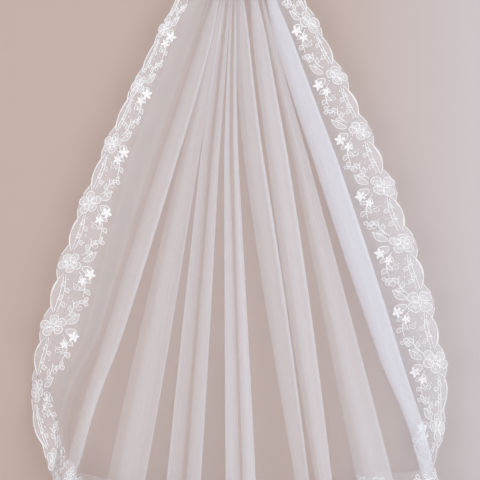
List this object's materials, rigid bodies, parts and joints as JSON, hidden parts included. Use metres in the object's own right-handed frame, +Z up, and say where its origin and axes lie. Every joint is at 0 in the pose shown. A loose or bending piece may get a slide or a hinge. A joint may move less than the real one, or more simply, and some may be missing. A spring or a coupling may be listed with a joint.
{
  "type": "bridal veil",
  "caption": "One-tier bridal veil of sheer tulle, gathered on a comb and falling in long pleats, with a scalloped floral lace edging and raised star florets.",
  "frame": {"origin": "middle of the comb's spine, where the veil is held up", "axes": "+Z up along the hanging veil, -Y out of its front, +X to the viewer's right from the front"},
  "size_m": [0.7122, 0.0859, 1.0495],
  "materials": {
    "tulle": "sheer soft net",
    "lace": "corded embroidery on net",
    "floret": "crisp organza",
    "comb": "smooth"
  },
  "bodies": {
    "root": {"tulle_panel": "tulle", "lace_left": "lace", "lace_hem": "lace", "lace_right": "lace", "floret_left_1": "floret", "floret_left_2": "floret", "floret_left_3": "floret", "floret_left_4": "floret", "floret_left_5": "floret", "floret_left_6": "floret", "floret_left_7": "floret", "floret_left_8": "floret", "floret_right_1": "floret", "floret_right_2": "floret", "floret_right_3": "floret", "floret_right_4": "floret", "floret_right_5": "floret", "floret_right_6": "floret", "floret_right_7": "floret", "floret_right_8": "floret", "floret_hem_1": "floret", "floret_hem_2": "floret", "floret_hem_3": "floret", "floret_hem_4": "floret", "floret_hem_5": "floret", "floret_hem_6": "floret", "comb": "comb"}
  },
  "joints": []
}
